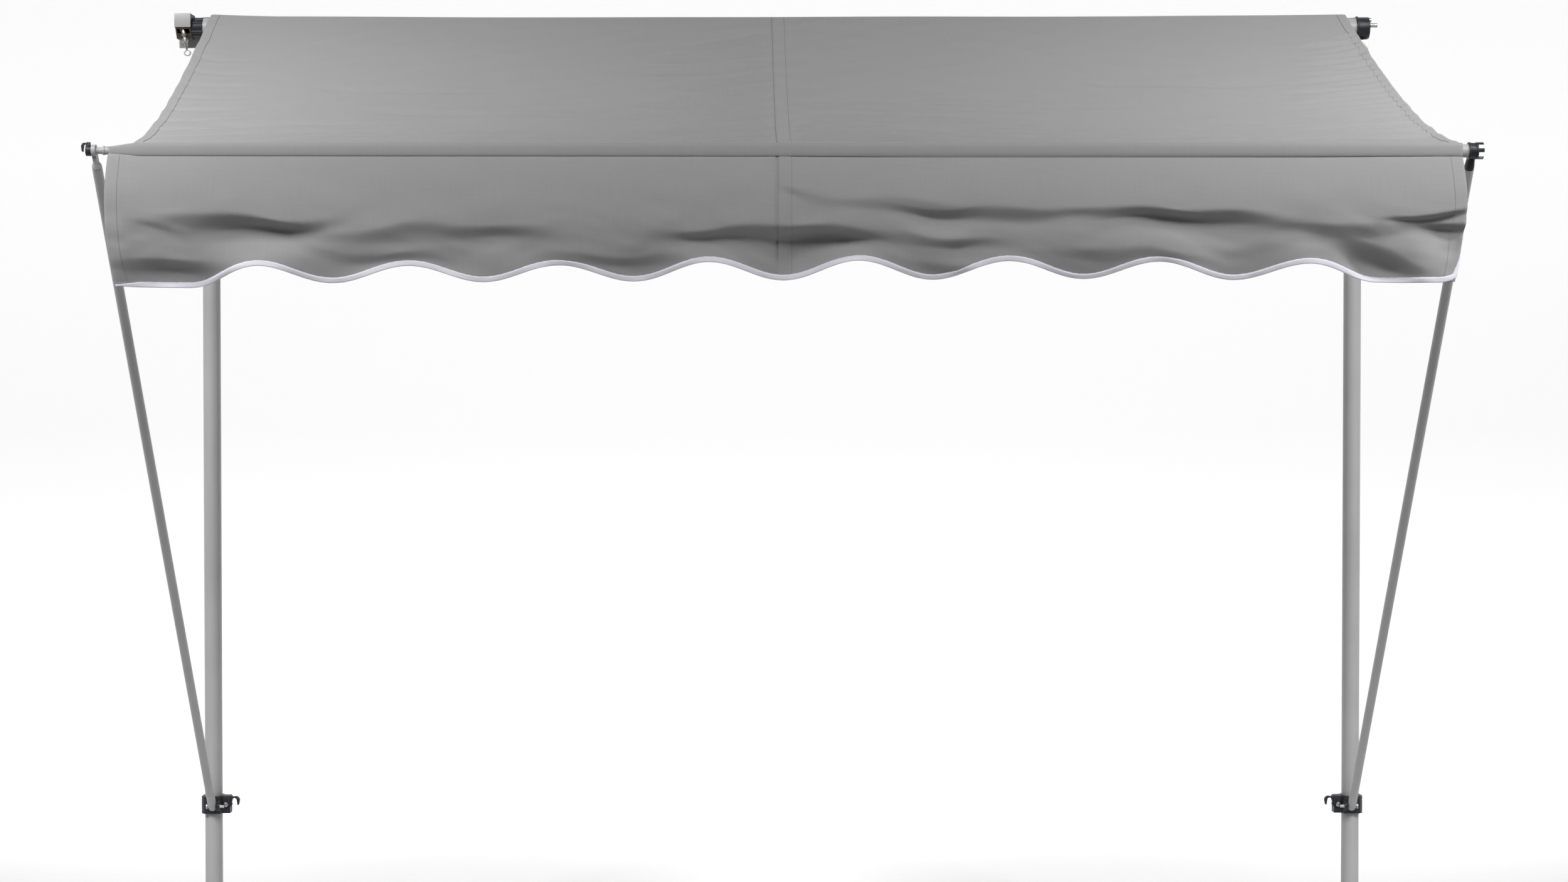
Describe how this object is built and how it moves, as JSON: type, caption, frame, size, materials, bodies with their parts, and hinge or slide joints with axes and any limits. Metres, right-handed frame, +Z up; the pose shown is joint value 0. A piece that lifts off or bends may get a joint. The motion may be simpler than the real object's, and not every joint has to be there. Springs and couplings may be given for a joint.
{
  "type": "clamp awning",
  "caption": "Canvas awning on two telescopic clamping posts, with a crank roller, sloping canopy, folding arms, front bar and scalloped valance with pale piping.",
  "frame": {"origin": "on the floor line, midway between the two posts' axes", "axes": "+X along the roller towards the viewer's right, -Y out under the canopy towards the front bar, +Z up the posts"},
  "size_m": [3.0797, 1.3385, 2.4946],
  "materials": {
    "canopy_cloth": "matt plain weave awning cloth, grey",
    "edge_tape": "stitched bias tape, white with a faint lilac cast",
    "grey_paint": "satin light grey powder coat on steel tube",
    "black_plastic": "moulded black plastic, satin",
    "pad_rubber": "matt black rubber",
    "bright_zinc": "bright zinc plating on steel",
    "dark_metal": "dark brown cast gear case"
  },
  "bodies": {
    "feet": {"left_foot_pad": "pad_rubber", "left_foot_plate": "black_plastic", "left_foot_spindle": "bright_zinc", "left_spindle_nut": "bright_zinc", "left_lower_tube": "grey_paint", "right_foot_pad": "pad_rubber", "right_foot_plate": "black_plastic", "right_foot_spindle": "bright_zinc", "right_spindle_nut": "bright_zinc", "right_lower_tube": "grey_paint"},
    "frame": {"left_upper_tube": "grey_paint", "left_height_sleeve": "black_plastic", "left_height_screw": "black_plastic", "left_head_pad": "pad_rubber", "left_head_saddle": "grey_paint", "left_head_plate": "grey_paint", "left_head_bolt": "bright_zinc", "left_clamp_front": "black_plastic", "left_clamp_back": "black_plastic", "left_clamp_screw": "bright_zinc", "right_upper_tube": "grey_paint", "right_height_sleeve": "black_plastic", "right_height_screw": "black_plastic", "right_head_pad": "pad_rubber", "right_head_saddle": "grey_paint", "right_head_plate": "grey_paint", "right_head_bolt": "bright_zinc", "right_clamp_front": "black_plastic", "right_clamp_back": "black_plastic", "right_clamp_screw": "bright_zinc", "gearbox_cover": "grey_paint", "gearbox_body": "dark_metal", "roller_bearing": "black_plastic", "bearing_bolt_1": "bright_zinc", "bearing_bolt_2": "bright_zinc", "bearing_angle": "bright_zinc", "canopy_sheet": "canopy_cloth"},
    "arms": {"left_arm_tube": "grey_paint", "left_arm_foot": "grey_paint", "left_pivot_bolt": "bright_zinc", "right_arm_tube": "grey_paint", "right_arm_foot": "grey_paint", "right_pivot_bolt": "bright_zinc", "left_arm_eye": "grey_paint", "right_arm_head": "black_plastic"},
    "front_bar": {"front_bar_tube": "grey_paint", "left_bar_pin": "grey_paint", "right_bar_plug": "black_plastic", "left_bar_hook": "black_plastic", "right_bar_screw": "bright_zinc", "valance": "canopy_cloth", "valance_piping": "edge_tape"},
    "roller": {"roller_tube": "grey_paint", "cloth_roll": "canopy_cloth", "left_roller_cap": "black_plastic", "right_roller_plug": "black_plastic", "gear_wheel": "bright_zinc"},
    "crank": {"crank_shaft": "bright_zinc", "crank_eye": "bright_zinc"}
  },
  "joints": [
    {"name": "post_height", "type": "slide", "parent": "feet", "child": "frame", "axis": [0, 0, 1], "range_m": [0, 0.5]},
    {"name": "arm_fold", "type": "hinge", "parent": "frame", "child": "arms", "pos_m": [0, -0.047, 0.453], "axis": [-1, 0, 0], "range_deg": [0, 33.5], "deforming": ["canopy_sheet"]},
    {"name": "bar_turn", "type": "hinge", "parent": "arms", "child": "front_bar", "pos_m": [0, -1.275, 2.05], "axis": [-1, 0, 0], "range_deg": [-34, 1]},
    {"name": "roller_turn", "type": "hinge", "parent": "frame", "child": "roller", "pos_m": [0, -0.09, 2.46], "axis": [-1, 0, 0], "range_deg": [-10, 2010]},
    {"name": "crank_turn", "type": "hinge", "parent": "frame", "child": "crank", "pos_m": [-1.534, -0.1085, 2.468], "axis": [0.1839, 0, -0.9829], "range_deg": [-100, 8050]}
  ],
  "couplings": [
    {"joint": "bar_turn", "follows": "arm_fold", "ratio": -1},
    {"joint": "roller_turn", "follows": "arm_fold", "ratio": 59},
    {"joint": "crank_turn", "follows": "arm_fold", "ratio": 236}
  ]
}
